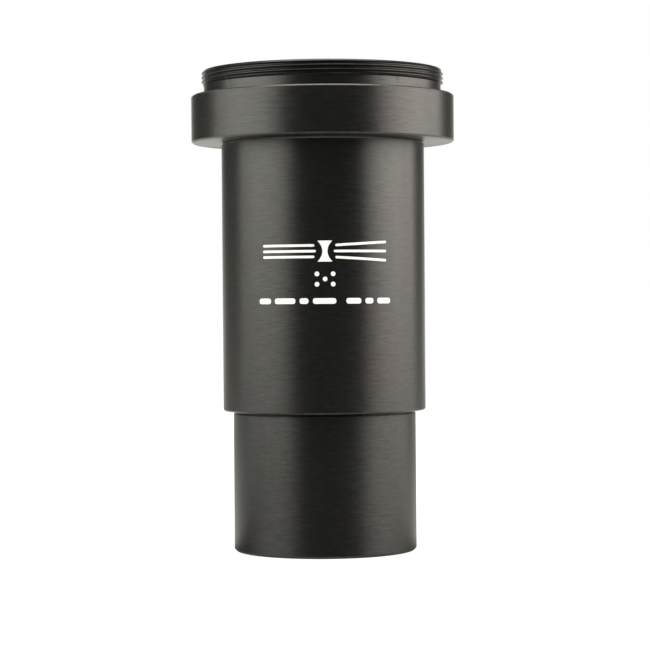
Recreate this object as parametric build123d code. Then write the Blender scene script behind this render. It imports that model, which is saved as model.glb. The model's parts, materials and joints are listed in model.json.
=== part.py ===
from build123d import *
import math
import os

# Barlow lens, 5x, for 1.25-inch telescope eyepieces, with a male M42 x 0.75 camera thread.
# Frame: millimetres, +Z along the optical axis from the telescope towards the eye.
# Origin: on the optical axis, in the shoulder plane where the body tube rests on a focuser.
# The front of the part is -Y; the clamp thumbscrew stands out of the back, +Y.

# ---------------------------------------------------------------- fits
CLEAR = 0.05                # radial clearance of screwed joints and of the liner
SLIP = 0.03                 # radial clearance of the lenses and the loose rings
GAP = 0.02                  # axial gap at seats
END_GAP = 0.05              # axial gap above the spigot and above the stop ring

# ---------------------------------------------------------------- outside
BARREL_R = 15.85            # 1.25-inch nosepiece, 31.7 mm across
BARREL_END_Z = -24.3        # open end of the nosepiece
BARREL_TOP_Z = -0.50        # small relief between barrel and body shoulder
BARREL_CHAMFER = 0.40
BODY_R = 17.6
BODY_TOP_Z = 46.45          # tube shoulder that carries the flange
BODY_CHAMFER_LOW = 0.25
BODY_CHAMFER_TOP = 0.35
FLANGE_R = 22.8
FLANGE_TOP_Z = 54.6
FLANGE_CHAMFER = 0.25
SEAT_R = 21.1               # inner edge of the seat for a camera ring
SEAT_STEP = 0.05            # floor of the undercut, below that seat
RELIEF_R = 20.58            # runout groove under the camera thread
RELIEF_TOP_Z = 56.62        # lower end of the thread's full diameter
RELIEF_CONE = 0.30
CAMERA_R = 21.0             # M42 x 0.75 male thread
CAMERA_PITCH = 0.75
CAMERA_START_Z = 55.515     # groove centre on the +X side
TOP_Z = 58.9
TOP_CHAMFER = 0.40

# ---------------------------------------------------------------- eyepiece socket
SOCKET_R = 15.9             # 31.8 mm bore for a 1.25-inch eyepiece
SOCKET_LOW_Z = 27.0
SOCKET_CHAMFER = 0.45       # at the collar mouth
SPIGOT_R = 16.75            # M33.5 x 0.5 thread, tube into flange ring
SPIGOT_PITCH = 0.5
SPIGOT_TOP_Z = 52.3
STOP_SEAT_R = 15.6          # seat of the eyepiece stop ring
STOP_SEAT_Z = 25.0

# ---------------------------------------------------------------- lower body bore
LINER_R = 15.0
LINER_LOW_Z = 8.2
WEB_R = 14.0
WEB_LOW_Z = 6.9
NOSE_THREAD_R = 15.5        # M31 x 0.75 thread, nosepiece into tube
NOSE_PITCH = 0.75
NOSE_THREAD_TOP_Z = 6.5
NOSE_SHOULDER_Z = 0.5
COUNTERBORE_R = 15.95

# ---------------------------------------------------------------- nosepiece bore
FILTER_R = 14.25            # M28.5 x 0.6 female filter thread, major radius
FILTER_PITCH = 0.6
FILTER_TOP_Z = -20.7
CELL_SEAT_R = 13.65
CELL_R = 13.6
CELL_TOP_Z = -8.6
CELL_LOW_Z = -20.4
NOSE_BORE_R = 12.6

# ---------------------------------------------------------------- thumbscrew
SCREW_Z = 50.5
SCREW_R = 2.0               # M4 x 0.7
SCREW_PITCH = 0.7
SCREW_TIP_Y = 16.05         # friction tip, just outside the socket wall
SCREW_START_Y = 17.0
SCREW_HEAD_Y = 24.9
SCREW_END_Y = 31.1
SCREW_LENGTH = SCREW_END_Y - SCREW_START_Y
HEAD_START = SCREW_HEAD_Y - SCREW_START_Y   # along the screw, from its inner end
HEAD_R = 4.0
HEAD_CHAMFER = 0.45
KNURLS = 36
KNURL_DEPTH = 0.22
KNURL_HALF_WIDTH = 0.30
PIN_R = 0.82                # pin of the friction tip, in a blind bore of the screw
PIN_LENGTH = 1.3
PIN_BORE_R = 0.85
PIN_BORE_DEPTH = 1.5

# ---------------------------------------------------------------- 60-degree threads
THREAD_DEPTH = 0.5413       # in pitches
GROOVE_AREA = 0.3045        # groove section, in pitches squared
OVERRUN = 0.9               # groove past an open end, in pitches
SLACKS = (0.1, 0.07, 0.05)  # how far the cutter stands clear of the blank, tried in turn
SEAMS = (-90, -45, 200, 0)  # turns of the blank about Z, tried in turn


def turned(points):
    """Solid of revolution about Z from (r, z) points."""
    return revolve(make_face(Plane.XZ * Polyline(*points, close=True)), Axis.Z)


def one(shape):
    """The largest solid of a boolean result."""
    return max(shape.solids(), key=lambda solid: solid.volume)


def helix_tool(r_in, half_in, r_out, half_out, pitch, z_start, z_end):
    """Trapezoid swept along a right-hand helix; it cuts one thread groove."""
    path = Helix(pitch=pitch, height=z_end - z_start, radius=(r_in + r_out) / 2)
    corners = [(r_in, -half_in), (r_out, -half_out), (r_out, half_out), (r_in, half_in)]
    section = make_face(Plane.XZ * Polyline(*corners, close=True))
    return Pos(0, 0, z_start) * sweep(section, path=path, is_frenet=True)


def cut_thread(part, r_major, pitch, z_start, z_end, female=False, seams=SEAMS):
    """Part minus one thread groove, between the major radius and the minor radius.

    Turning the blank moves its seam line away from the start of the groove. The sweep and
    the boolean can fail, so the first sound solid of the right volume is returned.
    """
    r_minor = r_major - THREAD_DEPTH * pitch
    r_mean = r_major - THREAD_DEPTH * pitch / 2
    full = GROOVE_AREA * pitch**2 * 2 * math.pi * r_mean * (z_end - z_start) / pitch

    def tool(slack):
        grow = slack * math.tan(math.radians(30))
        if female:  # wide at the minor radius, P/8 flat at the major radius
            section = (r_minor - slack, 0.375 * pitch + grow, r_major, pitch / 16)
        else:       # P/4 flat at the root, leaving P/8 crests
            section = (r_minor, pitch / 8, r_major + slack, 0.4375 * pitch + grow)
        return helix_tool(*section, pitch, z_start, z_end)

    for seam in seams:
        blank = Rot(0, 0, seam) * part
        for slack in SLACKS:
            result = one(blank - tool(slack))
            lost = blank.volume - result.volume
            if result.is_valid and 0.3 * full < lost < 1.1 * full:
                return result
    raise ValueError("the thread groove was not cut")


def cross_slot(radius, z, width, depth):
    """Cutter for a slot along X across a ring, reaching depth to either side of z."""
    return Pos(0, 0, z) * Box(2 * radius + 2, width, 2 * depth)


def on_screw_axis(y):
    """Placement at y on the thumbscrew axis, with local +Z along +Y."""
    return Pos(0, y, SCREW_Z) * Rot(-90, 0, 0)


def screw_hole():
    """Cutter for the thumbscrew hole through the collar and the body tube."""
    start_y, depth = 15, 14
    align = (Align.CENTER, Align.CENTER, Align.MIN)
    return on_screw_axis(start_y) * Cylinder(SCREW_R + CLEAR, depth, align=align)


# ================================================================ body parts
def thread_collar():
    """Flange ring with the camera thread."""
    bore_r = SPIGOT_R + CLEAR
    bore_top_z = SPIGOT_TOP_Z + END_GAP
    bore_chamfer = 0.4
    collar = turned([
        (SOCKET_R, bore_top_z),
        (SOCKET_R, TOP_Z - SOCKET_CHAMFER),
        (SOCKET_R + SOCKET_CHAMFER, TOP_Z),
        (CAMERA_R - TOP_CHAMFER, TOP_Z),
        (CAMERA_R, TOP_Z - TOP_CHAMFER),
        (CAMERA_R, RELIEF_TOP_Z),
        (RELIEF_R, RELIEF_TOP_Z - RELIEF_CONE),
        (RELIEF_R, FLANGE_TOP_Z - SEAT_STEP),
        (SEAT_R, FLANGE_TOP_Z - SEAT_STEP),
        (SEAT_R, FLANGE_TOP_Z),
        (FLANGE_R - FLANGE_CHAMFER, FLANGE_TOP_Z),
        (FLANGE_R, FLANGE_TOP_Z - FLANGE_CHAMFER),
        (FLANGE_R, BODY_TOP_Z + FLANGE_CHAMFER),
        (FLANGE_R - FLANGE_CHAMFER, BODY_TOP_Z),
        (bore_r + bore_chamfer, BODY_TOP_Z),
        (bore_r, BODY_TOP_Z + bore_chamfer),
        (bore_r, bore_top_z),
    ])
    end_z = TOP_Z + OVERRUN * CAMERA_PITCH
    collar = cut_thread(collar, CAMERA_R, CAMERA_PITCH, CAMERA_START_Z, end_z)
    collar = collar - screw_hole()
    # countersink where the screw hole leaves the flange
    hole_r = SCREW_R + CLEAR
    sink_inset, sink_depth = 0.45, 1.0
    align = (Align.CENTER, Align.CENTER, Align.MIN)
    sink = Cone(hole_r, hole_r + sink_depth, sink_depth, align=align)
    return one(collar - on_screw_axis(FLANGE_R - sink_inset) * sink)


def body_tube():
    """Tube with the threaded spigot on top and the stepped bore inside."""
    shoulder_z = BODY_TOP_Z - GAP
    nose_bore_r = NOSE_THREAD_R + CLEAR
    nose_seat_z = NOSE_SHOULDER_Z + GAP
    spigot_chamfer = 0.35       # also the depth of the undercut at its foot
    mouth_chamfer = 0.15
    body = turned([
        (COUNTERBORE_R, 0.0),
        (BODY_R - BODY_CHAMFER_LOW, 0.0),
        (BODY_R, BODY_CHAMFER_LOW),
        (BODY_R, shoulder_z - BODY_CHAMFER_TOP),
        (BODY_R - BODY_CHAMFER_TOP, shoulder_z),
        (SPIGOT_R - spigot_chamfer, shoulder_z),
        (SPIGOT_R - spigot_chamfer, BODY_TOP_Z + 0.55),
        (SPIGOT_R, BODY_TOP_Z + 0.95),
        (SPIGOT_R, SPIGOT_TOP_Z - spigot_chamfer),
        (SPIGOT_R - spigot_chamfer, SPIGOT_TOP_Z),
        (SOCKET_R + mouth_chamfer, SPIGOT_TOP_Z),
        (SOCKET_R, SPIGOT_TOP_Z - mouth_chamfer),
        (SOCKET_R, SOCKET_LOW_Z),
        (STOP_SEAT_R, SOCKET_LOW_Z),
        (STOP_SEAT_R, STOP_SEAT_Z),
        (LINER_R, STOP_SEAT_Z),
        (LINER_R, LINER_LOW_Z),
        (WEB_R, LINER_LOW_Z),
        (WEB_R, WEB_LOW_Z),
        (nose_bore_r, WEB_LOW_Z),
        (nose_bore_r, nose_seat_z),
        (COUNTERBORE_R, nose_seat_z),
    ])
    start_z = BODY_TOP_Z + 0.45
    end_z = SPIGOT_TOP_Z + OVERRUN * SPIGOT_PITCH
    body = cut_thread(body, SPIGOT_R, SPIGOT_PITCH, start_z, end_z)
    return one(body - screw_hole())


def nosepiece_barrel():
    """1.25-inch barrel, screwed into the tube, with a filter thread at its open end."""
    filter_minor_r = FILTER_R - THREAD_DEPTH * FILTER_PITCH
    filter_relief_r = FILTER_R + 0.1
    relief_top_z = FILTER_TOP_Z + 0.3
    neck_r = BARREL_R - 0.25
    undercut_r = NOSE_THREAD_R - 0.5
    thread_chamfer = 0.45
    nose = turned([
        (filter_minor_r, FILTER_TOP_Z),
        (filter_minor_r, BARREL_END_Z + 0.5),
        (FILTER_R + 0.18, BARREL_END_Z),
        (BARREL_R - BARREL_CHAMFER, BARREL_END_Z),
        (BARREL_R, BARREL_END_Z + BARREL_CHAMFER),
        (BARREL_R, BARREL_TOP_Z),
        (neck_r, BARREL_TOP_Z),
        (neck_r, NOSE_SHOULDER_Z),
        (undercut_r, NOSE_SHOULDER_Z),
        (undercut_r, NOSE_SHOULDER_Z + 0.7),
        (NOSE_THREAD_R, NOSE_SHOULDER_Z + 1.2),
        (NOSE_THREAD_R, NOSE_THREAD_TOP_Z - thread_chamfer),
        (NOSE_THREAD_R - thread_chamfer, NOSE_THREAD_TOP_Z),
        (NOSE_BORE_R, NOSE_THREAD_TOP_Z),
        (NOSE_BORE_R, CELL_TOP_Z + GAP),
        (CELL_SEAT_R, CELL_TOP_Z + GAP),
        (CELL_SEAT_R, relief_top_z),
        (filter_relief_r, relief_top_z),
        (filter_relief_r, FILTER_TOP_Z),
    ])
    start_z = NOSE_SHOULDER_Z + 0.35
    end_z = NOSE_THREAD_TOP_Z + OVERRUN * NOSE_PITCH
    nose = cut_thread(nose, NOSE_THREAD_R, NOSE_PITCH, start_z, end_z)
    # no turning here: the first thread is already cut
    start_z = BARREL_END_Z - OVERRUN * FILTER_PITCH
    end_z = FILTER_TOP_Z + 0.1
    return cut_thread(nose, FILTER_R, FILTER_PITCH, start_z, end_z, female=True, seams=(0,))


# ================================================================ negative achromat, f = -19 mm
LENS_R = 7.0
FIRST_CURVE_R = 16.0        # concave towards the telescope
CEMENTED_CURVE_R = 9.32
LAST_CURVE_R = 16.0         # concave towards the eye
CEMENT = 0.02
# surface vertices on the axis
FIRST_Z = -16.5
CEMENTED_Z = FIRST_Z + 1.5
LAST_Z = CEMENTED_Z + 3.2


def sag(curve_r, r):
    """Depth of a spherical surface at radius r."""
    return curve_r - math.sqrt(curve_r**2 - r**2)


def lens_arc(vertex_z, curve_r, sign):
    """Half profile of a lens surface; sign +1 curves the rim towards +Z, -1 towards -Z."""
    radii = (0, LENS_R / 2, LENS_R)
    return ThreePointArc(*[(r, vertex_z + sign * sag(curve_r, r)) for r in radii])


def lens(low, high):
    """Lens between two spherical faces, each given as (vertex z, curve radius, sign)."""
    low_arc, high_arc = lens_arc(*low), lens_arc(*high)
    side = Line(low_arc @ 1, high_arc @ 1)
    axis_line = Line((0, low[0]), (0, high[0]))
    face = make_face(Plane.XZ * (Curve() + [low_arc, side, high_arc, axis_line]))
    return revolve(face, Axis.Z)


def biconcave_lens():
    return lens((FIRST_Z, FIRST_CURVE_R, -1), (CEMENTED_Z, CEMENTED_CURVE_R, 1))


def meniscus_lens():
    return lens((CEMENTED_Z + CEMENT, CEMENTED_CURVE_R, 1), (LAST_Z, LAST_CURVE_R, 1))


# ================================================================ lens cell
SEAT_T = 0.4                # seat ring, above the lenses
RING_T = 0.9                # retaining ring, below the lenses
RING_R = 8.2
APERTURE_R = 6.35           # opening of both rings
SEAT_LOW_Z = LAST_Z + sag(LAST_CURVE_R, LENS_R) + GAP
SEAT_TOP_Z = SEAT_LOW_Z + SEAT_T
RING_TOP_Z = FIRST_Z - sag(FIRST_CURVE_R, LENS_R) - GAP
RING_LOW_Z = RING_TOP_Z - RING_T


def lens_cell():
    """Holder of both lenses, stepped open at the bottom, with a slot across its lower end."""
    ring_bore_r = RING_R + CLEAR
    lens_bore_r = LENS_R + SLIP
    mouth_z = RING_LOW_Z - 0.12
    step_z = mouth_z - 0.55
    last_step_z = mouth_z - 0.8
    lip_r = 6.3
    lip_z = SEAT_TOP_Z + GAP
    chamfer = 0.2
    cell = turned([
        (ring_bore_r, RING_TOP_Z),
        (ring_bore_r, mouth_z),
        (9.3, mouth_z - 0.3),
        (9.3, step_z),
        (10.5, step_z),
        (10.5, last_step_z),
        (11.7, last_step_z),
        (11.7, CELL_LOW_Z),
        (CELL_R - chamfer, CELL_LOW_Z),
        (CELL_R, CELL_LOW_Z + chamfer),
        (CELL_R, CELL_TOP_Z - chamfer),
        (CELL_R - chamfer, CELL_TOP_Z),
        (8.6, CELL_TOP_Z),
        (lip_r, lip_z + 0.25),
        (lip_r, lip_z),
        (lens_bore_r, lip_z),
        (lens_bore_r, RING_TOP_Z),
    ])
    return one(cell - cross_slot(CELL_R, CELL_LOW_Z, width=1.4, depth=0.8))


def lens_retaining_ring():
    """Slotted ring below the biconcave lens."""
    chamfer = 0.1
    ring = turned([
        (APERTURE_R, RING_TOP_Z),
        (APERTURE_R, RING_TOP_Z - 0.25),
        (6.9, RING_LOW_Z),
        (RING_R - chamfer, RING_LOW_Z),
        (RING_R, RING_LOW_Z + chamfer),
        (RING_R, RING_TOP_Z),
    ])
    return one(ring - cross_slot(RING_R, RING_LOW_Z, width=1.0, depth=0.55))


def lens_seat_ring():
    """Flat ring between the meniscus lens and the lip of the cell."""
    return turned([
        (APERTURE_R, SEAT_LOW_Z),
        (LENS_R, SEAT_LOW_Z),
        (LENS_R, SEAT_TOP_Z),
        (APERTURE_R, SEAT_TOP_Z),
    ])


# ================================================================ baffles and liner
def lower_baffle():
    """Rimmed baffle in the nosepiece bore."""
    low_z = -2.4
    rim_top_z = low_z + 1.6
    outer_r = NOSE_BORE_R - SLIP
    rim_inner_r = NOSE_BORE_R - 0.9
    opening_r = 7.9
    return turned([
        (outer_r, low_z),
        (outer_r, rim_top_z),
        (rim_inner_r, rim_top_z),
        (rim_inner_r, low_z + 0.7),
        (opening_r, low_z + 0.15),
        (opening_r, low_z),
    ])


def baffle_sleeve():
    """Ridged liner: V grooves inside stop glancing reflections."""
    outer_r = LINER_R - CLEAR
    ridge_r, root_r = 14.1, 14.5
    pitch = 0.8
    low_z = LINER_LOW_Z + GAP
    top_z = STOP_SEAT_Z - GAP
    z = top_z - 0.3     # plain land above the first groove
    points = [(outer_r, low_z), (outer_r, top_z), (ridge_r, top_z), (ridge_r, z)]
    while z - pitch > LINER_LOW_Z + 0.4:
        points += [
            (root_r, z - 0.35 * pitch),
            (ridge_r, z - 0.9 * pitch),
            (ridge_r, z - pitch),
        ]
        z -= pitch
    points.append((ridge_r, low_z))
    return turned(points)


def eyepiece_stop_ring():
    """Slotted ring at the bottom of the eyepiece socket."""
    outer_r = STOP_SEAT_R - SLIP
    opening_r = 11.2
    low_z = STOP_SEAT_Z + GAP
    top_z = SOCKET_LOW_Z - END_GAP
    ring = turned([
        (outer_r, low_z),
        (outer_r, top_z),
        (13.3, top_z),
        (opening_r, low_z + 0.2),
        (opening_r, low_z),
    ])
    return one(ring - cross_slot(STOP_SEAT_R, top_z, width=1.2, depth=0.6))


# ================================================================ thumbscrew, laid along +Y
def thumbscrew():
    """Knurled screw, built along +Z from its inner end."""
    tip_chamfer = 0.4
    neck_r = 1.55
    collar_r = 2.7
    collar_z = HEAD_START - 0.5
    dish_z = SCREW_LENGTH - 0.3
    screw = turned([
        (PIN_BORE_R, 0.0),
        (SCREW_R - tip_chamfer, 0.0),
        (SCREW_R, tip_chamfer),
        (SCREW_R, HEAD_START - 1.3),
        (neck_r, HEAD_START - 0.95),
        (neck_r, collar_z),
        (collar_r, collar_z),
        (collar_r, HEAD_START),
        (HEAD_R - HEAD_CHAMFER, HEAD_START),
        (HEAD_R, HEAD_START + HEAD_CHAMFER),
        (HEAD_R, SCREW_LENGTH - HEAD_CHAMFER),
        (HEAD_R - HEAD_CHAMFER, SCREW_LENGTH),
        (2.4, SCREW_LENGTH),
        (2.0, dish_z),
        (0.0, dish_z),
        (0.0, PIN_BORE_DEPTH),
        (PIN_BORE_R, PIN_BORE_DEPTH),
    ])
    start_z = -OVERRUN * SCREW_PITCH
    screw = cut_thread(screw, SCREW_R, SCREW_PITCH, start_z, HEAD_START - 1.05)
    cut_r = HEAD_R + 0.1
    corners = [
        (HEAD_R - KNURL_DEPTH, 0),
        (cut_r, -KNURL_HALF_WIDTH),
        (cut_r, KNURL_HALF_WIDTH),
    ]
    notch = extrude(make_face(Polyline(*corners, close=True)), SCREW_LENGTH - HEAD_START + 1)
    notch = Pos(0, 0, HEAD_START - 0.2) * notch
    screw = one(screw - [Rot(0, 0, 360 * i / KNURLS) * notch for i in range(KNURLS)])
    return on_screw_axis(SCREW_START_Y) * screw


def thumbscrew_tip():
    """Friction tip, with its pin in the bore of the screw."""
    tip_z = SCREW_TIP_Y - SCREW_START_Y
    tip_r = 1.4
    chamfer = 0.2
    tip = turned([
        (0.0, tip_z),
        (tip_r - chamfer, tip_z),
        (tip_r, tip_z + chamfer),
        (tip_r, -GAP),
        (PIN_R, -GAP),
        (PIN_R, PIN_LENGTH),
        (0.0, PIN_LENGTH),
    ])
    return on_screw_axis(SCREW_START_Y) * tip


PIECES = (
    thread_collar, body_tube, nosepiece_barrel,
    biconcave_lens, meniscus_lens, lens_cell, lens_retaining_ring, lens_seat_ring,
    lower_baffle, baffle_sleeve, eyepiece_stop_ring,
    thumbscrew, thumbscrew_tip,
)

# each file takes the name of the function that builds its piece
os.makedirs("parts", exist_ok=True)
for build in PIECES:
    export_step(build(), f"parts/{build.__name__}.step")
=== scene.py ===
import json
import math

import bmesh
import bpy
from mathutils import Matrix, Vector

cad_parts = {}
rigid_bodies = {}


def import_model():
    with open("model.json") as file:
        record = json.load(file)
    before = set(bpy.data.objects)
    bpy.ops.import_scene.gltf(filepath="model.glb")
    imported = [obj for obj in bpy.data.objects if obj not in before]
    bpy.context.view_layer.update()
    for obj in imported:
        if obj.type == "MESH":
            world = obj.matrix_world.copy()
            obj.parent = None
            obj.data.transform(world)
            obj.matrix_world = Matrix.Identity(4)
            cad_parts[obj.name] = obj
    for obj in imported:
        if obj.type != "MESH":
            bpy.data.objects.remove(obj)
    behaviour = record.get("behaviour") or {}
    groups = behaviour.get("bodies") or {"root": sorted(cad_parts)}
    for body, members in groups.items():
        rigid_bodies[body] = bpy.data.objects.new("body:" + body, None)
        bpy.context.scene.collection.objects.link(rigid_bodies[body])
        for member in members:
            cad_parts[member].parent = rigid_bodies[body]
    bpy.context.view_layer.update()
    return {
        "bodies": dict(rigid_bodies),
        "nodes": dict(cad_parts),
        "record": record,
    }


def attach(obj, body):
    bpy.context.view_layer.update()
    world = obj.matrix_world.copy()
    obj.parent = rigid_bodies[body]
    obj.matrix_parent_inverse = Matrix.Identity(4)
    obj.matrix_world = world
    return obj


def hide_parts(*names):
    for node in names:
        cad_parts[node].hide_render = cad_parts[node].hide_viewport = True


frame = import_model()

MM = 0.001
nodes = frame["nodes"]
scene = bpy.context.scene
SLOT_OF = {s["node"]: s["material_slot"] for s in frame["record"]["subparts"]}


# ------------------------------------------------------------------ node helpers
class Tree:
    """A material with one Principled shader and short calls for the nodes that feed it."""

    def __init__(self, name):
        self.mat = bpy.data.materials.new(name)
        self.mat.use_nodes = True
        self.nt = self.mat.node_tree
        self.nt.nodes.clear()
        self.out = self.nt.nodes.new("ShaderNodeOutputMaterial")
        self.bsdf = self.nt.nodes.new("ShaderNodeBsdfPrincipled")
        self.nt.links.new(self.bsdf.outputs[0], self.out.inputs["Surface"])

    def put(self, socket, value):
        if isinstance(value, bpy.types.NodeSocket):
            self.nt.links.new(value, socket)
        elif hasattr(socket.default_value, "__len__"):
            value = list(value)
            if len(value) == 3 and len(socket.default_value) == 4:
                value.append(1.0)
            socket.default_value = value
        else:
            socket.default_value = value

    def set(self, **values):
        for k, v in values.items():
            self.put(self.bsdf.inputs[k.replace("_", " ")], v)

    def coords(self):
        return self.nt.nodes.new("ShaderNodeTexCoord").outputs["Object"]

    def attribute(self, name):
        n = self.nt.nodes.new("ShaderNodeAttribute")
        n.attribute_name = name
        return n.outputs["Fac"]

    def split(self, v):
        n = self.nt.nodes.new("ShaderNodeSeparateXYZ")
        self.put(n.inputs[0], v)
        return n.outputs[0], n.outputs[1], n.outputs[2]

    def join(self, x, y, z):
        n = self.nt.nodes.new("ShaderNodeCombineXYZ")
        for i, v in enumerate((x, y, z)):
            self.put(n.inputs[i], v)
        return n.outputs[0]

    def math(self, op, a, b=None, c=None, clamp=False):
        n = self.nt.nodes.new("ShaderNodeMath")
        n.operation = op
        n.use_clamp = clamp
        for i, v in enumerate((a, b, c)):
            if v is not None:
                self.put(n.inputs[i], v)
        return n.outputs[0]

    def noise(self, vector, scale, detail=2.0, rough=0.5, distortion=0.0):
        n = self.nt.nodes.new("ShaderNodeTexNoise")
        n.noise_dimensions = "3D"
        self.put(n.inputs["Vector"], vector)
        self.put(n.inputs["Scale"], scale)
        self.put(n.inputs["Detail"], detail)
        self.put(n.inputs["Roughness"], rough)
        self.put(n.inputs["Distortion"], distortion)
        return n.outputs["Fac"]

    def remap(self, v, a0, a1, b0, b1, smooth=False, clamp=True):
        n = self.nt.nodes.new("ShaderNodeMapRange")
        n.interpolation_type = "SMOOTHSTEP" if smooth else "LINEAR"
        n.clamp = clamp
        for i, x in enumerate((v, a0, a1, b0, b1)):
            self.put(n.inputs[i], x)
        return n.outputs[0]

    def mix(self, fac, a, b, kind="MIX"):
        n = self.nt.nodes.new("ShaderNodeMix")
        n.data_type = "RGBA"
        n.blend_type = kind
        self.put(n.inputs[0], fac)
        self.put(n.inputs[6], a)
        self.put(n.inputs[7], b)
        return n.outputs[2]

    def bump(self, height, distance, strength=1.0, normal=None):
        n = self.nt.nodes.new("ShaderNodeBump")
        self.put(n.inputs["Strength"], strength)
        self.put(n.inputs["Distance"], distance)
        self.put(n.inputs["Height"], height)
        if normal is not None:
            self.put(n.inputs["Normal"], normal)
        return n.outputs[0]


def radial(t, axis="Z", centre=(0, 0, 0)):
    """Cylindrical coordinates about an axis: unit direction (a, b), radius, distance along."""
    x, y, z = t.split(t.coords())
    if axis == "Z":
        u, v, w = t.math("SUBTRACT", x, centre[0]), t.math("SUBTRACT", y, centre[1]), z
    else:
        u, v, w = t.math("SUBTRACT", x, centre[0]), t.math("SUBTRACT", z, centre[2]), y
    r = t.math("SQRT", t.math("ADD", t.math("MULTIPLY", u, u), t.math("MULTIPLY", v, v)))
    safe = t.math("MAXIMUM", r, 1e-5)
    return t.math("DIVIDE", u, safe), t.math("DIVIDE", v, safe), r, w


def turned_lines(t, a, b, r, w, scale, around, detail, rough):
    """Noise that is fine along the profile (r + w) and drawn out round the axis, as a cutting tool leaves it."""
    along = t.math("ADD", w, r)
    v = t.join(t.math("MULTIPLY", a, around), t.math("MULTIPLY", b, around), t.math("MULTIPLY", along, scale))
    return t.noise(v, 1.0, detail, rough)


def anodised(name, rough=0.36, base=(0.0052, 0.0055, 0.0056), lines=1.0, ior=1.60):
    """Satin black anodising over turned aluminium: feed lines round Z, a faint cloudiness, lighter rubbed edges that
    also carry painted highlights, painted light on the ring's underside, and painted shade in thread roots and
    undercuts.
    """
    t = Tree(name)
    a, b, r, w = radial(t)
    coarse = turned_lines(t, a, b, r, w, 3600.0, 7.0, 1.0, 0.5)
    fine = turned_lines(t, a, b, r, w, 6200.0, 12.0, 2.0, 0.7)
    hair = turned_lines(t, a, b, r, w, 16000.0, 18.0, 2.0, 0.6)
    cloud = t.noise(t.coords(), 110.0, 3.0, 0.55)
    speck = t.noise(t.coords(), 7000.0, 2.0, 0.6)
    edge = t.attribute("edge")
    patchiness = t.remap(t.noise(t.coords(), 1500.0, 4.0, 0.7), 0.36, 0.62, 0.35, 1.0)
    worn_and_painted_light = t.math("MULTIPLY", edge, patchiness, clamp=True)
    painted_groove_shade = t.remap(edge, -2.0, 0.0, 0.1, 1.0)  # painted shade: thread roots and undercuts (mark below zero) get much less specular, standing in for the shade that falls in them
    height = t.math("ADD", t.math("ADD", t.math("MULTIPLY", coarse, 0.34), t.math("MULTIPLY", fine, 0.40)), t.math("MULTIPLY", hair, 0.26))
    tone = t.math("ADD", t.math("ADD", t.math("MULTIPLY", height, 0.74), t.math("MULTIPLY", cloud, 0.04)), t.math("MULTIPLY", speck, 0.22))
    colour = t.mix(t.remap(tone, 0.38, 0.62, 0.0, 1.0), tuple(c * 0.72 for c in base), tuple(c * 1.30 for c in base))
    # rubbed edges show a lighter grey; the same mix paints highlight lines on chamfers and thread crests and painted
    # light on the ring's underside
    colour = t.mix(worn_and_painted_light, colour, (0.075, 0.071, 0.067))
    colour = t.mix(t.remap(edge, 1.0, 2.0, 0.0, 1.0), colour, (0.25, 0.24, 0.228))  # painted highlight: a mark above one (the tube's top chamfer under the ring) is turned nearly to light grey
    cast = t.remap(t.noise(t.coords(), 170.0, 2.0, 0.5), 0.40, 0.60, 0.0, 1.0, smooth=True)  # the dye's faint brown and green casts
    t.set(
        Base_Color=colour,
        Specular_Tint=t.mix(cast, (1.0, 0.962, 0.965), (0.955, 1.0, 0.962)),
        Metallic=0.0,
        Roughness=t.remap(t.math("ADD", t.math("MULTIPLY", height, 0.75), t.math("MULTIPLY", cloud, 0.25)), 0.36, 0.64, rough - 0.025, rough + 0.03),
        IOR=ior,
        Specular_IOR_Level=t.math("MULTIPLY", painted_groove_shade, t.remap(tone, 0.38, 0.62, 0.5 - 0.105 * lines, 0.5 + 0.115 * lines)),
        Anisotropic=0.5,
        Anisotropic_Rotation=0.25,
        Normal=t.bump(t.math("ADD", height, t.math("MULTIPLY", speck, 0.10)), 0.0000024 * lines, 1.0),
    )
    tan = t.nt.nodes.new("ShaderNodeTangent")
    tan.direction_type = "RADIAL"
    tan.axis = "Z"
    t.nt.links.new(tan.outputs[0], t.bsdf.inputs["Tangent"])
    return t.mat


def flat_black(name):
    """Dull anti-reflection paint: nearly no shine, a fine dry texture and a little dust in it."""
    t = Tree(name)
    n1 = t.noise(t.coords(), 2600.0, 5.0, 0.65)
    n2 = t.noise(t.coords(), 300.0, 3.0, 0.5)
    dust = t.remap(t.noise(t.coords(), 5200.0, 2.0, 0.5), 0.70, 0.78, 0.0, 0.35)
    colour = t.mix(t.remap(n2, 0.35, 0.65, 0.0, 1.0), (0.0085, 0.0085, 0.0088), (0.0130, 0.0128, 0.0126))
    colour = t.mix(dust, colour, (0.05, 0.05, 0.05))
    t.set(
        Base_Color=colour,
        Roughness=t.remap(n1, 0.3, 0.7, 0.72, 0.92),
        Specular_IOR_Level=0.35,
        Normal=t.bump(n1, 0.000012),
    )
    return t.mat


def seat_polymer(name):
    t = Tree(name)
    n1 = t.noise(t.coords(), 1800.0, 4.0, 0.6)
    t.set(
        Base_Color=t.mix(t.remap(n1, 0.3, 0.7, 0.0, 1.0), (0.016, 0.016, 0.017), (0.026, 0.026, 0.025)),
        Roughness=t.remap(n1, 0.3, 0.7, 0.5, 0.66),
        Normal=t.bump(n1, 0.000005),
    )
    return t.mat


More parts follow.
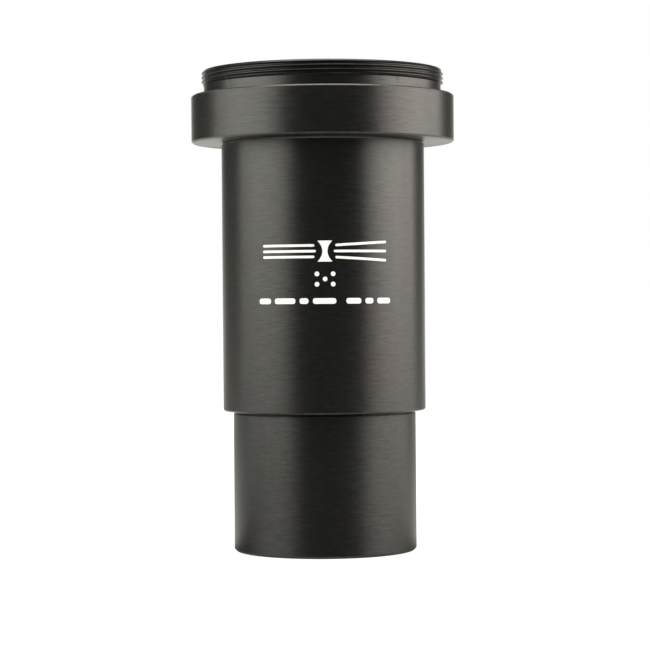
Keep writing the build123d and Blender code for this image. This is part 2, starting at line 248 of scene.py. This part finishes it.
def coated_glass(name, seed):
    """Optical glass with a blackened rim; the polished faces carry a thin anti-reflection film."""
    t = Tree(name)
    a, b, r, w = radial(t)
    rim = t.remap(r, 0.00690, 0.00696, 0.0, 1.0)
    tint = t.noise(t.join(t.math("MULTIPLY", a, 0.8), t.math("MULTIPLY", b, 0.8), t.math("ADD", t.math("MULTIPLY", r, 220.0), seed)), 1.0, 2.0, 0.5)
    t.set(
        Base_Color=t.mix(rim, t.mix(tint, (0.93, 0.97, 0.985), (0.97, 0.96, 0.985)), (0.004, 0.004, 0.004)),
        Roughness=t.remap(rim, 0.0, 1.0, 0.015, 0.6),
        IOR=1.55,
        Transmission_Weight=t.remap(rim, 0.0, 1.0, 1.0, 0.0),
        Specular_IOR_Level=0.42,
        Thin_Film_Thickness=t.remap(t.math("ADD", t.math("MULTIPLY", r, 90.0), t.math("MULTIPLY", tint, 0.35)), 0.0, 1.0, 300.0, 345.0),
        Thin_Film_IOR=1.38,
        Normal=t.bump(t.noise(t.coords(), 400.0, 2.0, 0.5), 0.00000005),
    )
    return t.mat


def nickel(name):
    """Bright nickel plate on the thumbscrew, which lies along Y: turned end face, light handling marks."""
    t = Tree(name)
    a, b, r, w = radial(t, "Y", (0.0, 0.0, 0.0505))
    ring = t.noise(t.join(t.math("MULTIPLY", a, 1.2), t.math("MULTIPLY", b, 1.2), t.math("MULTIPLY", t.math("ADD", r, w), 9000.0)), 1.0, 3.0, 0.65)
    smear = t.noise(t.coords(), 500.0, 4.0, 0.6)
    pits = t.noise(t.coords(), 12000.0, 2.0, 0.5)
    t.set(
        Base_Color=t.mix(t.remap(smear, 0.35, 0.65, 0.0, 1.0), (0.50, 0.485, 0.455), (0.62, 0.605, 0.575)),
        Metallic=1.0,
        Roughness=t.remap(t.math("ADD", t.math("MULTIPLY", ring, 0.5), t.math("MULTIPLY", smear, 0.5)), 0.35, 0.65, 0.15, 0.30),
        Normal=t.bump(t.math("ADD", t.math("MULTIPLY", ring, 0.8), t.math("MULTIPLY", pits, 0.2)), 0.0000022),
    )
    return t.mat


def nylon(name):
    t = Tree(name)
    n1 = t.noise(t.coords(), 1500.0, 3.0, 0.55)
    t.set(
        Base_Color=t.mix(t.remap(n1, 0.3, 0.7, 0.0, 1.0), (0.78, 0.75, 0.67), (0.86, 0.84, 0.77)),
        Roughness=t.remap(n1, 0.3, 0.7, 0.42, 0.56),
        Subsurface_Weight=0.15,
        Subsurface_Radius=(0.0006, 0.0005, 0.0004),
        Normal=t.bump(n1, 0.000006),
    )
    return t.mat


def white_ink(name):
    """Screen-printed ink: chalky white with a fine mesh grain and slightly thinner patches."""
    t = Tree(name)
    n1 = t.noise(t.coords(), 9000.0, 3.0, 0.6)
    n2 = t.noise(t.coords(), 900.0, 3.0, 0.6)
    m = t.math("ADD", t.math("MULTIPLY", n1, 0.5), t.math("MULTIPLY", n2, 0.5))
    t.set(
        Base_Color=t.mix(t.remap(m, 0.35, 0.6, 0.0, 1.0), (0.90, 0.90, 0.90), (0.97, 0.97, 0.97)),
        Roughness=t.remap(n1, 0.3, 0.7, 0.55, 0.75),
        Specular_IOR_Level=0.4,
        Normal=t.bump(n1, 0.000003),
    )
    return t.mat


MAT = {
    "black_anodised": anodised("black_anodised"),
    "flat_black": flat_black("flat_black"),
    "seat_polymer": seat_polymer("seat_polymer"),
    "plated_metal": nickel("plated_metal"),
    "nylon": nylon("nylon"),
    "white_ink": white_ink("white_ink"),
}
GLASS = {
    "biconcave_lens": coated_glass("coated_glass_front", 0.0),
    "meniscus_lens": coated_glass("coated_glass_rear", 3.7),
}


def paint(obj, mat):
    if not obj.material_slots:
        obj.data.materials.append(None)
    for s in obj.material_slots:
        s.link = "OBJECT"
        s.material = mat


for name, obj in nodes.items():
    paint(obj, GLASS.get(name) or MAT[SLOT_OF[name]])


# ------------------------------------------------------------------ turned meshes
SEGMENTS = 240
# this mesh attribute holds rubbing on convex edges with painted highlights (above zero), painted light on the ring's
# underside and the tube's top chamfer, and painted shade in grooves (below zero)
WEAR_AND_PAINTED_SHADING = "edge"


def rounded_corner(p0, p1, p2, radius, steps, convex):
    """Corner p1 of the path p0-p1-p2 as an arc tangent to both legs: (r, z, mark) points, where a convex corner's mark
    is rubbing together with a painted highlight.
    """
    p0, p1, p2 = Vector(p0), Vector(p1), Vector(p2)
    a, b = p0 - p1, p2 - p1
    la, lb = a.length, b.length
    a, b = a / la, b / lb
    angle = a.angle(b)
    if radius <= 0 or angle > math.radians(176):
        return [(p1.x, p1.y, 0.6 if convex else 0.0)]
    reach = min(radius / math.tan(angle / 2), 0.45 * la, 0.45 * lb)
    radius = reach * math.tan(angle / 2)
    centre = p1 + (a + b).normalized() * (radius / math.sin(angle / 2))
    v0, v1 = p1 + a * reach - centre, p1 + b * reach - centre
    total = v0.angle(v1)
    out = []
    for i in range(steps + 1):
        f = i / steps
        v = (v0 * math.sin((1 - f) * total) + v1 * math.sin(f * total)) / math.sin(total)
        out.append((centre.x + v.x, centre.y + v.y, math.sin(math.pi * f) if convex else 0.0))
    return out


class Thread:
    """A helical stretch of a turned profile. table holds (offset from the groove centre / pitch, radius, mark) over one
    pitch; the mark is rubbing plus a painted highlight on the crests and painted shade, below zero, in the roots.
    """

    def __init__(self, kind, major, pitch, phase, z0, z1, envelope, up, fine=False):
        self.kind, self.major, self.pitch, self.phase = kind, major, pitch, phase
        self.z0, self.z1, self.envelope, self.up = z0, z1, envelope, up
        depth = 0.5413 * pitch
        # the third entry of each row is rubbing plus a painted highlight on the crests and painted shade (below zero)
        # in the roots and flanks
        if kind == "male":
            root, crest = major - depth, major
            half = [(0.0, root, -1), (0.09, root, -1), (0.125, root + 0.018 * pitch, -1)]
            if fine:
                half += [(0.22, root + depth * 0.095 / 0.3125, -0.9), (0.32, root + depth * 0.195 / 0.3125, -0.7)]
            half += [(0.41, root + depth * 0.285 / 0.3125, -0.3), (0.4375, crest - 0.016 * pitch, 0.5), (0.466, crest, 0.5)]
        else:
            minor = major - depth
            half = [(0.0, major, -1), (0.045, major, -1), (0.0625, major - 0.012 * pitch, -1)]
            half += [(0.34, minor + depth * 0.035 / 0.3125, -0.3), (0.375, minor + 0.014 * pitch, 0.4), (0.41, minor, 0.4)]
        self.table = [(-u, r, w) for u, r, w in reversed(half[1:])] + half
        self.table.append((0.5, half[-1][1], half[-1][2]))  # crest middle, met once a pitch
        self.rows_per_pitch = len(self.table)
        self.k0 = math.floor((z0 - phase) / pitch) - 2
        self.k1 = math.ceil((z1 - phase) / pitch) + 1

    def radius(self, z, shift):
        """Radius of the thread alone at height z, where the helix has risen by shift."""
        u = (z - self.phase - shift) / self.pitch
        u -= math.floor(u + 0.5)
        t = [(-0.5, self.table[-1][1])] + [(a, r) for a, r, _ in self.table]
        for (u0, r0), (u1, r1) in zip(t, t[1:]):
            if u0 <= u <= u1:
                return r0 + (r1 - r0) * (u - u0) / (u1 - u0)
        return t[-1][1]

    def clip(self, z, r):
        e = self.envelope(z)
        return min(e, r) if self.kind == "male" else max(e, r)

    def column(self, turn):
        """(r, z, mark) rows at an angle of turn full turns, in the direction of the profile; the mark carries rubbing,
        painted light and painted shade.
        """
        shift = self.pitch * turn
        low = (self.clip(self.z0, self.radius(self.z0, shift)), self.z0, 0.0)
        high = (self.clip(self.z1, self.radius(self.z1, shift)), self.z1, 0.0)
        rows = []
        for k in range(self.k0, self.k1 + 1):
            for u, r, wear_and_painted_shading in self.table:
                z = self.phase + (k + u) * self.pitch + shift
                if z <= self.z0 + 1e-4:
                    rows.append(low)
                elif z >= self.z1 - 1e-4:
                    rows.append(high)
                else:
                    rows.append((self.clip(z, r), z, wear_and_painted_shading))
        return rows if self.up else rows[::-1]


def turned(name, profile, segments=SEGMENTS, steps=4):
    """Closed mesh of revolution about Z from a closed profile in mm. An item is (r, z, corner radius) or a Thread."""
    flat = [p for p in profile if not isinstance(p, Thread)]
    area = sum(a[0] * b[1] - b[0] * a[1] for a, b in zip(flat, flat[1:] + flat[:1]))
    parts, flats = [], []  # fixed point lists and threads in order
    n = len(profile)
    for i, p in enumerate(profile):
        if isinstance(p, Thread):
            parts.append(p)
            continue
        before, after = profile[i - 1], profile[(i + 1) % n]
        near = lambda q, first: (q.column(0)[-1 if first else 0][:2] if isinstance(q, Thread) else q[:2])
        p0, p2 = Vector(near(before, True)), Vector(near(after, False))
        p1 = Vector(p[:2])
        if (p0 - p1).length < 1e-6 or (p2 - p1).length < 1e-6:
            parts.append([(p1.x, p1.y, 0.0)])
            continue
        cross = (p1 - p0).x * (p2 - p1).y - (p1 - p0).y * (p2 - p1).x
        parts.append(rounded_corner(p0, p1, p2, p[2], steps, cross * area > 0))
        if len(p) > 3:  # painted light on the flat that follows this corner, painted shade where the amount is below zero
            flats.append((len(parts) - 1, p[3]))
    fixed = [p for p in parts if not isinstance(p, Thread)]
    for a, b in zip(fixed, fixed[1:]):  # a chamfer between two rubbed edges is marked lighter than the flats beside it: rubbing plus a painted highlight
        gap = (Vector(a[-1][:2]) - Vector(b[0][:2])).length
        if len(a) > 1 and len(b) > 1 and a[1][2] > 0 and b[1][2] > 0 and gap < 0.7:
            a[-1] = (a[-1][0], a[-1][1], 0.9)
            b[0] = (b[0][0], b[0][1], 0.9)
    for i, amount in flats:
        a, b = parts[i], parts[i + 1]
        a.append((a[-1][0], a[-1][1], amount)) if len(a) == 1 else a.__setitem__(-1, (a[-1][0], a[-1][1], amount))
        b[0] = (b[0][0], b[0][1], amount)

    verts, wear_and_painted_shading, columns = [], [], []
    for i in range(segments):
        turn = i / segments
        ca, sa = math.cos(2 * math.pi * turn), math.sin(2 * math.pi * turn)
        column, last = [], None
        rows = []
        for part in parts:
            rows += part.column(turn) if isinstance(part, Thread) else part
        for r, z, w in rows:
            if last is not None and abs(last[0] - r) < 1e-6 and abs(last[1] - z) < 1e-6:
                column.append(column[-1])
                continue
            verts.append((r * ca * MM, r * sa * MM, z * MM))
            wear_and_painted_shading.append(w)
            column.append(len(verts) - 1)
            last = (r, z)
        columns.append(column)
    closing, at = list(columns[0]), 0  # after a full turn each helical row meets the row one pitch further on
    for part in parts:
        count = len(part.column(0)) if isinstance(part, Thread) else len(part)
        if isinstance(part, Thread):
            m = part.rows_per_pitch
            for j in range(count):
                source = j + m if part.up else j - m
                source = max(0, min(count - 1, source))
                closing[at + j] = columns[0][at + source]
        at += count
    columns.append(closing)
    faces = []
    rows = len(closing)
    for i in range(segments):
        c0, c1 = columns[i], columns[i + 1]
        for j in range(rows):
            k = (j + 1) % rows
            ring = []
            for v in (c0[j], c0[k], c1[k], c1[j]):
                if v not in ring:
                    ring.append(v)
            if len(ring) > 2:
                faces.append(ring)
    mesh = bpy.data.meshes.new(name)
    mesh.from_pydata(verts, [], faces)
    attribute = mesh.attributes.new(WEAR_AND_PAINTED_SHADING, "FLOAT", "POINT")
    attribute.data.foreach_set("value", wear_and_painted_shading)
    bm = bmesh.new()
    bm.from_mesh(mesh)
    bmesh.ops.recalc_face_normals(bm, faces=bm.faces)
    bm.to_mesh(mesh)
    bm.free()
    mesh.validate()
    mesh.update()
    obj = bpy.data.objects.new(name, mesh)
    scene.collection.objects.link(obj)
    return obj


def finish_mesh(obj, angle=38.0):
    """Smooth shading with true creases kept, and normals weighted by face size so that the flats stay flat."""
    obj.data.shade_smooth()
    obj.data.set_sharp_from_angle(angle=math.radians(angle))
    mod = obj.modifiers.new("weighted", "WEIGHTED_NORMAL")
    mod.keep_sharp = True
    mod.weight = 60
    mod.mode = "FACE_AREA"


def cut(obj, cutter):
    """Boolean difference, applied at once; the cutter is removed."""
    mod = obj.modifiers.new("cut", "BOOLEAN")
    mod.operation, mod.solver, mod.object = "DIFFERENCE", "EXACT", cutter
    dg = bpy.context.evaluated_depsgraph_get()
    mesh = bpy.data.meshes.new_from_object(obj.evaluated_get(dg), preserve_all_data_layers=True, depsgraph=dg)
    obj.modifiers.remove(mod)
    obj.data = mesh
    bpy.data.objects.remove(cutter)


def tidy(obj):
    """Merges points closer than a micron and drops the doubled faces that this leaves, so that each mesh is one closed skin."""
    bm = bmesh.new()
    bm.from_mesh(obj.data)
    bmesh.ops.remove_doubles(bm, verts=bm.verts, dist=1.5e-6)
    bmesh.ops.dissolve_degenerate(bm, dist=5.0e-7, edges=bm.edges)
    bm.verts.index_update()
    same = {}
    for face in bm.faces:
        same.setdefault(frozenset(v.index for v in face.verts), []).append(face)
    extra = [f for group in same.values() if len(group) > 1 for f in group[len(group) % 2:]]
    bmesh.ops.delete(bm, geom=extra, context="FACES_ONLY")
    bmesh.ops.delete(bm, geom=[e for e in bm.edges if not e.link_faces], context="EDGES")
    bmesh.ops.delete(bm, geom=[v for v in bm.verts if not v.link_edges], context="VERTS")
    bm.to_mesh(obj.data)
    bm.free()
    obj.data.update()


SCREW_Z = 50.5


def screw_hole_cutter(name):
    """Screw clearance hole with a countersunk mouth, along +Y."""
    y0, y1, hole, mouth = 14.0, 24.0, 2.05, 22.35
    profile = [(0.0, y0), (hole, y0), (hole, mouth), (hole + 0.9, mouth + 0.9), (hole + 0.9, y1), (0.0, y1)]
    verts, faces, n = [], [], 72
    for r, y in profile[1:-1]:
        for i in range(n):
            a = 2 * math.pi * (i + 0.5) / n
            verts.append((r * math.cos(a) * MM, y * MM, (SCREW_Z + r * math.sin(a)) * MM))
    rings = len(profile) - 2
    for k in range(rings - 1):
        for i in range(n):
            j = (i + 1) % n
            faces.append((k * n + i, k * n + j, (k + 1) * n + j, (k + 1) * n + i))
    faces.append(tuple(reversed(range(n))))
    faces.append(tuple(range((rings - 1) * n, rings * n)))
    mesh = bpy.data.meshes.new(name)
    mesh.from_pydata(verts, [], faces)
    bm = bmesh.new()
    bm.from_mesh(mesh)
    bmesh.ops.recalc_face_normals(bm, faces=bm.faces)
    bm.to_mesh(mesh)
    bm.free()
    obj = bpy.data.objects.new(name, mesh)
    scene.collection.objects.link(obj)
    return obj


def between(points):
    """Piecewise linear radius over height from (z, r) points."""

    def f(z):
        if z <= points[0][0]:
            return points[0][1]
        for (z0, r0), (z1, r1) in zip(points, points[1:]):
            if z <= z1:
                return r0 + (r1 - r0) * (z - z0) / (z1 - z0)
        return points[-1][1]

    return f


# wide ring with the M42 x 0.75 camera thread
TOP, SEAT, RING_LOW = 58.9, 54.6, 46.45
ring = turned(
    "camera_thread_ring",
    [
        (15.9, 52.35, 0.05),
        (15.9, 58.45, 0.07),
        (16.35, 58.9, 0.06),
        (20.6, TOP, 0.0),
        Thread("male", 21.0, 0.75, 55.515, 56.32, TOP, between([(56.32, 20.58), (56.62, 21.0), (58.5, 21.0), (58.9, 20.6)]), up=False, fine=True),
        (20.58, SEAT - 0.05, 0.04),
        (21.1, SEAT - 0.05, 0.0),
        (21.1, SEAT, 0.015),
        (22.55, SEAT, 0.07),
        (22.8, SEAT - 0.25, 0.07),
        (22.8, RING_LOW + 0.25, 0.07),
        # painted light: the ring's flat underside gets a light mark, as if lit from below
        (22.55, RING_LOW, 0.07, 0.4),
        (17.2, RING_LOW, 0.05),
        (16.8, RING_LOW + 0.4, 0.05),
        (16.8, 52.35, 0.05),
    ],
)
cut(ring, screw_hole_cutter("ring_cut"))

# body tube
tube = turned(
    "tube_shell",
    [
        (15.95, 0.0, 0.05),
        (17.35, 0.0, 0.06),
        (17.6, 0.25, 0.06),
        # painted highlight: the tube's top chamfer under the ring gets a strong light mark
        (17.6, 46.08, 0.06, 1.85),
        (17.25, 46.43, 0.08),
        (16.4, 46.43, 0.04),
        (16.4, 47.0, 0.0),
        Thread("male", 16.75, 0.5, 46.9, 47.0, 52.3, between([(47.0, 16.4), (47.4, 16.75), (51.95, 16.75), (52.3, 16.4)]), up=True),
        (16.05, 52.3, 0.04),
        (15.9, 52.15, 0.04),
        (15.9, 27.0, 0.03),
        (15.6, 27.0, 0.03),
        (15.6, 25.0, 0.03),
        (15.0, 25.0, 0.03),
        (15.0, 8.2, 0.03),
        (14.0, 8.2, 0.05),
        (14.0, 6.9, 0.05),
        (15.55, 6.9, 0.05),
        (15.55, 0.52, 0.03),
        (15.95, 0.52, 0.03),
    ],
)
cut(tube, screw_hole_cutter("tube_cut"))

# nosepiece
nose = turned(
    "nosepiece_shell",
    [
        Thread("female", 14.25, 0.6, -24.84, -24.3, -20.7, between([(-24.3, 14.43), (-23.8, 13.925)]), up=False),
        (14.43, -24.3, 0.0),
        (15.45, -24.3, 0.07),
        (15.85, -23.9, 0.07),
        (15.85, -0.5, 0.05),
        # painted shade: the relief groove under the body's shoulder is marked to reflect less
        (15.6, -0.5, 0.04, -1.45),
        (15.6, 0.5, 0.04),
        (15.0, 0.5, 0.04),
        (15.0, 1.2, 0.0),
        Thread("male", 15.5, 0.75, 0.85, 1.2, 6.5, between([(1.2, 15.0), (1.7, 15.5), (6.05, 15.5), (6.5, 15.05)]), up=True),
        (12.6, 6.5, 0.08),
        (12.6, -8.58, 0.04),
        (13.65, -8.58, 0.04),
        (13.65, -20.4, 0.03),
        (14.35, -20.4, 0.05),
        (14.35, -20.7, 0.04),
    ],
)
for piece, node, body in ((ring, "thread_collar", "body"), (tube, "body_tube", "body"), (nose, "nosepiece_barrel", "nosepiece")):
    tidy(piece)
    finish_mesh(piece)
    paint(piece, MAT["black_anodised"])
    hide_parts(node)
    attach(piece, body)


# ------------------------------------------------------------------ printed marks on the front
PRINT_R, PRINT_TURN = 17.6, math.radians(0.75)
INK_OUT, INK_IN = 0.022, -0.020


def ink(name, patches):
    """Thin closed patches wrapped on the tube. A patch is (fn, nu, nv), and fn(u, v) gives (arc length, z) in mm for u, v in 0...1."""
    verts, faces = [], []
    for fn, nu, nv in patches:
        base = len(verts)
        for lift in (INK_OUT, INK_IN):
            for j in range(nv + 1):
                for i in range(nu + 1):
                    s, z = fn(i / nu, j / nv)
                    edge = min(i, nu - i, 1) * min(j, nv - j, 1)
                    a = s / PRINT_R + PRINT_TURN
                    r = PRINT_R + (lift if lift < 0 else lift * (0.55 + 0.45 * edge))
                    verts.append((r * math.sin(a) * MM, -r * math.cos(a) * MM, z * MM))
        w, layer = nu + 1, (nu + 1) * (nv + 1)
        for j in range(nv):
            for i in range(nu):
                a, b, c, d = (base + j * w + i, base + j * w + i + 1, base + (j + 1) * w + i + 1, base + (j + 1) * w + i)
                faces.append((a, b, c, d))
                faces.append((d + layer, c + layer, b + layer, a + layer))
        border = [j for j in range(nu)] + [nu + w * j for j in range(nv)] + [nv * w + nu - i for i in range(nu)] + [w * (nv - j) for j in range(nv)]
        for p, q in zip(border, border[1:] + border[:1]):
            faces.append((base + q, base + p, base + p + layer, base + q + layer))
    mesh = bpy.data.meshes.new(name)
    mesh.from_pydata(verts, [], faces)
    bm = bmesh.new()
    bm.from_mesh(mesh)
    bmesh.ops.recalc_face_normals(bm, faces=bm.faces)
    bm.to_mesh(mesh)
    bm.free()
    obj = bpy.data.objects.new(name, mesh)
    scene.collection.objects.link(obj)
    obj.data.shade_smooth()
    obj.data.set_sharp_from_angle(angle=math.radians(40))
    paint(obj, MAT["white_ink"])
    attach(obj, "body")
    return obj


def bar(s0, z0, s1, z1, thick):
    """A straight stroke with softly rounded ends."""

    def fn(u, v):
        length = abs(s1 - s0)
        near = min(u, 1 - u) * length / (thick / 2)
        half = thick / 2 * (math.sqrt(max(0.0, 1 - (1 - min(near, 1.0)) ** 2)) * 0.65 + 0.35)
        return s0 + (s1 - s0) * u, z0 + (z1 - z0) * u + (2 * v - 1) * half

    return fn, max(10, int(abs(s1 - s0) / 0.12)), 3


def dot(s0, z0, radius):
    def fn(u, v):
        x, y = 2 * u - 1, 2 * v - 1
        return s0 + radius * x * math.sqrt(1 - y * y / 2), z0 + radius * y * math.sqrt(1 - x * x / 2)

    return fn, 10, 10


def lens_mark(s0, z0, waist, edge, height):
    """Solid biconcave lens outline, standing upright."""

    def fn(u, v):
        t = 2 * v - 1
        half = waist + (edge - waist) * t * t
        return s0 + (2 * u - 1) * half, z0 + t * height

    return fn, 12, 24


RAYS_Z = 27.25
rays = [lens_mark(0, RAYS_Z, 0.42, 1.25, 1.75)]
for k in (-1, 0, 1):
    rays.append(bar(-11.0, RAYS_Z + 0.95 * k, -1.75 + 0.25 * (k == 0), RAYS_Z + 0.95 * k, 0.42))
    rays.append(bar(1.75 - 0.25 * (k == 0), RAYS_Z + 1.0 * k, 11.0, RAYS_Z + 1.54 * k, 0.42))
ink("print_rays", rays)
PIPS_Z = 22.6
ink("print_pips", [dot(1.35 * i, PIPS_Z + 0.86 * j, 0.39) for i, j in ((-1, -1), (-1, 1), (0, 0), (1, -1), (1, 1))])
BARS_Z = 18.95
bars, at = [], -11.8
for length, gap in ((2.3, 0.75), (3.7, 0.75), (1.5, 0.75), (3.9, 1.7), (2.6, 0.75), (1.5, 0.75), (2.65, 0.0)):
    bars.append(bar(at, BARS_Z, at + length, BARS_Z, 0.95))
    at += length + gap
ink("print_bars", bars)


# ------------------------------------------------------------------ camera
F_PX, SIDE, EYE_Y, EYE_Z, HORIZON = 2238.5, 650.0, -390.0, 18.8, 301.86
cam_data = bpy.data.cameras.new("camera")
cam_data.sensor_width = 36.0
cam_data.sensor_fit = "HORIZONTAL"
cam_data.lens = F_PX / SIDE * 36.0
cam_data.clip_start, cam_data.clip_end = 0.01, 40.0
camera = bpy.data.objects.new("camera", cam_data)
scene.collection.objects.link(camera)
pitch = math.atan((SIDE / 2 - HORIZON) / F_PX)
yaw = math.atan(0.95 / F_PX)
roll = math.radians(0.433)
forward = Vector((math.sin(yaw) * math.cos(pitch), math.cos(yaw) * math.cos(pitch), -math.sin(pitch)))
right = forward.cross(Vector((0, 0, 1))).normalized()
up = right.cross(forward).normalized()
right_r = right * math.cos(roll) - up * math.sin(roll)
up_r = up * math.cos(roll) + right * math.sin(roll)
m = Matrix((right_r, up_r, -forward)).transposed().to_4x4()
m.translation = Vector((0.0, EYE_Y * MM, EYE_Z * MM))
camera.matrix_world = m
scene.camera = camera


# ------------------------------------------------------------------ stage and light
def area(name, azimuth, distance, z, width, height, radiance, colour=(1, 1, 1), aim=None, glossy=True, diffuse=True):
    """A soft box: azimuth 0 is behind the camera, 90 is to the right."""
    d = bpy.data.lights.new(name, "AREA")
    d.shape = "RECTANGLE"
    d.size, d.size_y = width, height
    d.energy = radiance * math.pi * width * height
    d.color = colour
    o = bpy.data.objects.new(name, d)
    scene.collection.objects.link(o)
    az = math.radians(azimuth)
    o.location = Vector((math.sin(az) * distance, -math.cos(az) * distance, z))
    target = Vector(aim) if aim else Vector((0, 0, z))
    o.rotation_mode = "QUATERNION"
    o.rotation_quaternion = (target - o.location).to_track_quat("-Z", "Y")
    o.visible_camera = False
    o.visible_glossy = glossy
    o.visible_diffuse = diffuse
    return o


WARM, COOLER = (1.0, 0.927, 0.857), (0.97, 0.945, 0.86)
area("softbox_left", -71, 0.60, 0.318, 0.83, 0.62, 2.6, COOLER)
area("softbox_left_core", -67, 0.58, 0.318, 0.42, 0.62, 1.7, COOLER)
area("softbox_right", 86, 0.60, 0.315, 0.89, 0.62, 3.5, WARM)
area("softbox_right_core", 80, 0.58, 0.315, 0.35, 0.62, 2.2, WARM)
area("softbox_top", 0, 0.0, 0.75, 0.6, 0.6, 4.0, WARM, aim=(0, 0, 0))
area("fill_front", 0, 1.3, 0.25, 0.7, 0.7, 3.6, (0.97, 0.985, 1.0), glossy=False)

world = bpy.data.worlds.new("world")
scene.world = world
world.use_nodes = True
wn = world.node_tree
wn.nodes.clear()
w_out = wn.nodes.new("ShaderNodeOutputWorld")
bg_cam = wn.nodes.new("ShaderNodeBackground")
bg_cam.inputs[0].default_value = (1, 1, 1, 1)
bg_cam.inputs[1].default_value = 1.0
bg_env = wn.nodes.new("ShaderNodeBackground")
tc = wn.nodes.new("ShaderNodeTexCoord")
sep = wn.nodes.new("ShaderNodeSeparateXYZ")
wn.links.new(tc.outputs["Generated"], sep.inputs[0])
mr = wn.nodes.new("ShaderNodeMapRange")
mr.interpolation_type = "SMOOTHSTEP"
mr.inputs[1].default_value = 0.88
mr.inputs[2].default_value = 0.98
mr.inputs[3].default_value = 0.03
mr.inputs[4].default_value = 1.0
wn.links.new(sep.outputs[1], mr.inputs[0])
wn.links.new(mr.outputs[0], bg_env.inputs[1])
bg_env.inputs[0].default_value = (1, 0.985, 0.87, 1)
lp = wn.nodes.new("ShaderNodeLightPath")
mx = wn.nodes.new("ShaderNodeMixShader")
wn.links.new(lp.outputs["Is Camera Ray"], mx.inputs[0])
wn.links.new(bg_env.outputs[0], mx.inputs[1])
wn.links.new(bg_cam.outputs[0], mx.inputs[2])
wn.links.new(mx.outputs[0], w_out.inputs[0])

# pale floor: it catches a soft contact shadow near the part and runs into the white backdrop
floor_z = -24.3 * MM
fm = bpy.data.meshes.new("floor")
FLOOR_R, RINGS, AROUND = 12.0, 40, 128
fv, ff = [(0, 0, 0)], []
for k in range(1, RINGS + 1):
    rr = FLOOR_R * (k / RINGS) ** 4
    for i in range(AROUND):
        a = 2 * math.pi * i / AROUND
        fv.append((rr * math.cos(a), rr * math.sin(a), 0))
for i in range(AROUND):
    j = (i + 1) % AROUND
    ff.append((0, 1 + i, 1 + j))
    for k in range(RINGS - 1):
        o1, o2 = 1 + k * AROUND, 1 + (k + 1) * AROUND
        ff.append((o1 + i, o2 + i, o2 + j, o1 + j))
fm.from_pydata(fv, [], ff)
fm.update()
floor = bpy.data.objects.new("floor", fm)
scene.collection.objects.link(floor)
floor.location = (0, 0, floor_z)
ft = Tree("floor_white")
fx, fy, fz = ft.split(ft.coords())
fr = ft.math("SQRT", ft.math("ADD", ft.math("MULTIPLY", fx, fx), ft.math("MULTIPLY", fy, fy)))
light_path = ft.nt.nodes.new("ShaderNodeLightPath")
seen = light_path.outputs["Is Camera Ray"]
glow = ft.remap(fr, 0.03, 0.30, 0.80, 1.05, smooth=True)
near = ft.remap(fr, 0.05, 0.15, 0.10, 0.03, smooth=True)
near = ft.math("ADD", near, ft.math("MULTIPLY", ft.remap(fx, 0.012, 0.035, 0.0, 0.28, smooth=True), ft.remap(fr, 0.05, 0.16, 1.0, 0.0, smooth=True)))
behind = ft.math("MULTIPLY", ft.remap(fy, -0.004, 0.016, 0.0, 0.90, smooth=True), ft.remap(fy, 0.08, 0.22, 1.0, 0.52, smooth=True))
straight = ft.math("SUBTRACT", fy, ft.math("MULTIPLY", ft.math("ABSOLUTE", fx), 1.3))
behind = ft.math("ADD", behind, ft.remap(straight, 0.15, 0.60, 0.0, 1.20, smooth=True))
other = ft.math("MAXIMUM", near, behind)
matt = light_path.outputs["Is Diffuse Ray"]
other = ft.math("ADD", ft.math("MULTIPLY", matt, 0.7), ft.math("MULTIPLY", ft.math("SUBTRACT", 1.0, matt), other))
strength = ft.math("ADD", ft.math("MULTIPLY", seen, glow), ft.math("MULTIPLY", ft.math("SUBTRACT", 1.0, seen), other))
grain = ft.noise(ft.coords(), 60.0, 3.0, 0.5)
ft.set(
    Base_Color=ft.mix(seen, (0.03, 0.03, 0.03), ft.mix(grain, (0.30, 0.30, 0.30), (0.32, 0.32, 0.32))),
    Roughness=0.9,
    Specular_IOR_Level=0.0,
    Emission_Color=ft.mix(seen, (1.0, 0.98, 0.90), (1.0, 0.995, 0.985)),
    Emission_Strength=strength,
)
geometry = ft.nt.nodes.new("ShaderNodeNewGeometry")
clear = ft.nt.nodes.new("ShaderNodeBsdfTransparent")
sides = ft.nt.nodes.new("ShaderNodeMixShader")
ft.nt.links.new(geometry.outputs["Backfacing"], sides.inputs[0])
ft.nt.links.new(ft.bsdf.outputs[0], sides.inputs[1])
ft.nt.links.new(clear.outputs[0], sides.inputs[2])
ft.nt.links.new(sides.outputs[0], ft.out.inputs["Surface"])
floor.data.materials.append(ft.mat)
try:
    ft.mat.cycles.emission_sampling = "NONE"
except AttributeError:
    pass
floor.parent = frame["bodies"]["nosepiece_slide"]  # the part stands on its nosepiece, also when that is screwed out

scene.view_settings.view_transform = "Standard"
scene.view_settings.look = "None"
